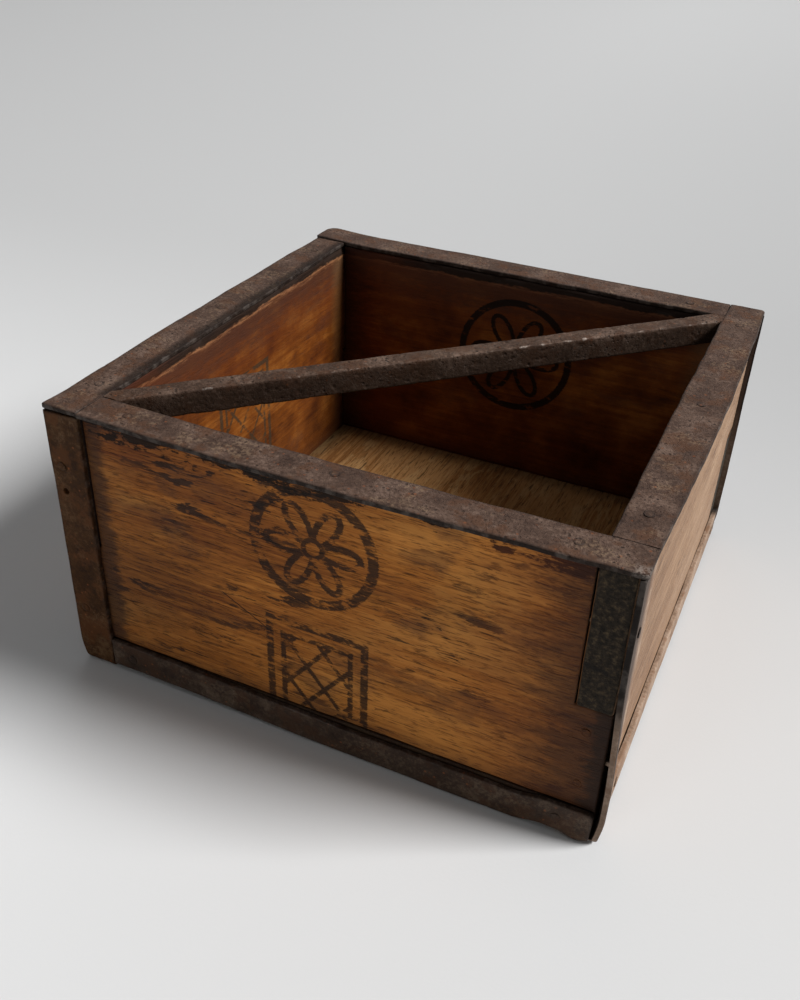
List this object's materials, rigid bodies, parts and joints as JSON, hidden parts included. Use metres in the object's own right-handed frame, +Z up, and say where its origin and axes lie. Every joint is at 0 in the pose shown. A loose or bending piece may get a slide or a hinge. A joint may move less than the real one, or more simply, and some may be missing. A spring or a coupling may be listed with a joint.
{
  "type": "grain measure",
  "caption": "Square wooden grain measure with an iron rim, iron corner straps and a diagonal levelling bar across its open top.",
  "frame": {"origin": "middle of the footprint, on the surface that the four feet stand on", "axes": "+Z up, +X along the front wall to the right, +Y from the front wall towards the back one"},
  "size_m": [0.1724, 0.1724, 0.0932],
  "materials": {
    "wall_wood": "aged cedar, rubbed and stained",
    "bottom_wood": "aged cedar, worn and dusty",
    "peg_wood": "dark end grain",
    "rim_iron": "pitted wrought iron with old rust",
    "bar_iron": "pitted wrought iron, bright along its worn edges",
    "strap_iron": "rusty brown wrought iron",
    "strip_iron": "blackened wrought iron",
    "nail_iron": "dark forged iron"
  },
  "bodies": {
    "root": {"front_board": "wall_wood", "right_board": "wall_wood", "back_board": "wall_wood", "left_board": "wall_wood", "bottom_board": "bottom_wood", "front_rim": "rim_iron", "right_rim": "rim_iron", "back_rim": "rim_iron", "left_rim": "rim_iron", "levelling_bar": "bar_iron", "front_strap": "strap_iron", "right_strap": "strap_iron", "back_strap": "strap_iron", "left_strap": "strap_iron", "front_bottom_strip": "strip_iron", "right_bottom_strip": "strip_iron", "back_bottom_strip": "strip_iron", "left_bottom_strip": "strip_iron", "front_rim_nail_1": "nail_iron", "front_rim_nail_2": "nail_iron", "front_rim_nail_3": "nail_iron", "front_strap_nail_1": "nail_iron", "front_strap_nail_2": "nail_iron", "front_strip_nail_1": "nail_iron", "front_strip_nail_2": "nail_iron", "front_foot_nail": "nail_iron", "front_peg_1": "peg_wood", "front_peg_2": "peg_wood", "right_rim_nail_1": "nail_iron", "right_rim_nail_2": "nail_iron", "right_rim_nail_3": "nail_iron", "right_strap_nail_1": "nail_iron", "right_strap_nail_2": "nail_iron", "right_strip_nail_1": "nail_iron", "right_strip_nail_2": "nail_iron", "right_foot_nail": "nail_iron", "right_peg_1": "peg_wood", "right_peg_2": "peg_wood", "back_rim_nail_1": "nail_iron", "back_rim_nail_2": "nail_iron", "back_rim_nail_3": "nail_iron", "back_strap_nail_1": "nail_iron", "back_strap_nail_2": "nail_iron", "back_strip_nail_1": "nail_iron", "back_strip_nail_2": "nail_iron", "back_foot_nail": "nail_iron", "back_peg_1": "peg_wood", "back_peg_2": "peg_wood", "left_rim_nail_1": "nail_iron", "left_rim_nail_2": "nail_iron", "left_rim_nail_3": "nail_iron", "left_strap_nail_1": "nail_iron", "left_strap_nail_2": "nail_iron", "left_strip_nail_1": "nail_iron", "left_strip_nail_2": "nail_iron", "left_foot_nail": "nail_iron", "left_peg_1": "peg_wood", "left_peg_2": "peg_wood"}
  },
  "joints": []
}
